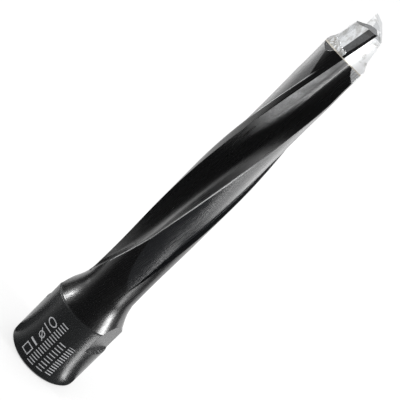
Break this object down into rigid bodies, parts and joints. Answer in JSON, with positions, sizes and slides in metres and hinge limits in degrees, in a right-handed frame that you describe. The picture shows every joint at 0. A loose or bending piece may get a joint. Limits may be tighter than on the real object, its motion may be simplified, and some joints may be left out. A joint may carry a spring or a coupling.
{
  "type": "loose tenon joiner cutter",
  "caption": "Rotary slot cutter for a loose tenon joiner: threaded collar with spanner flats, twisted fluted steel stem and a brazed carbide head with ground lips",
  "frame": {"origin": "centre of the back face of the collar, on the axis", "axes": "+Z runs along the axis from the collar to the tip, +X is the outward side of one spanner flat, +Y completes a right-handed frame"},
  "size_m": [0.014, 0.014, 0.086],
  "materials": {
    "coated_steel": "black oxide coated tool steel, semi-gloss",
    "braze": "silver braze, rough",
    "carbide": "ground tungsten carbide, polished"
  },
  "bodies": {
    "root": {"cutter_body": "coated_steel", "braze_joint": "braze", "carbide_head": "carbide"}
  },
  "joints": []
}
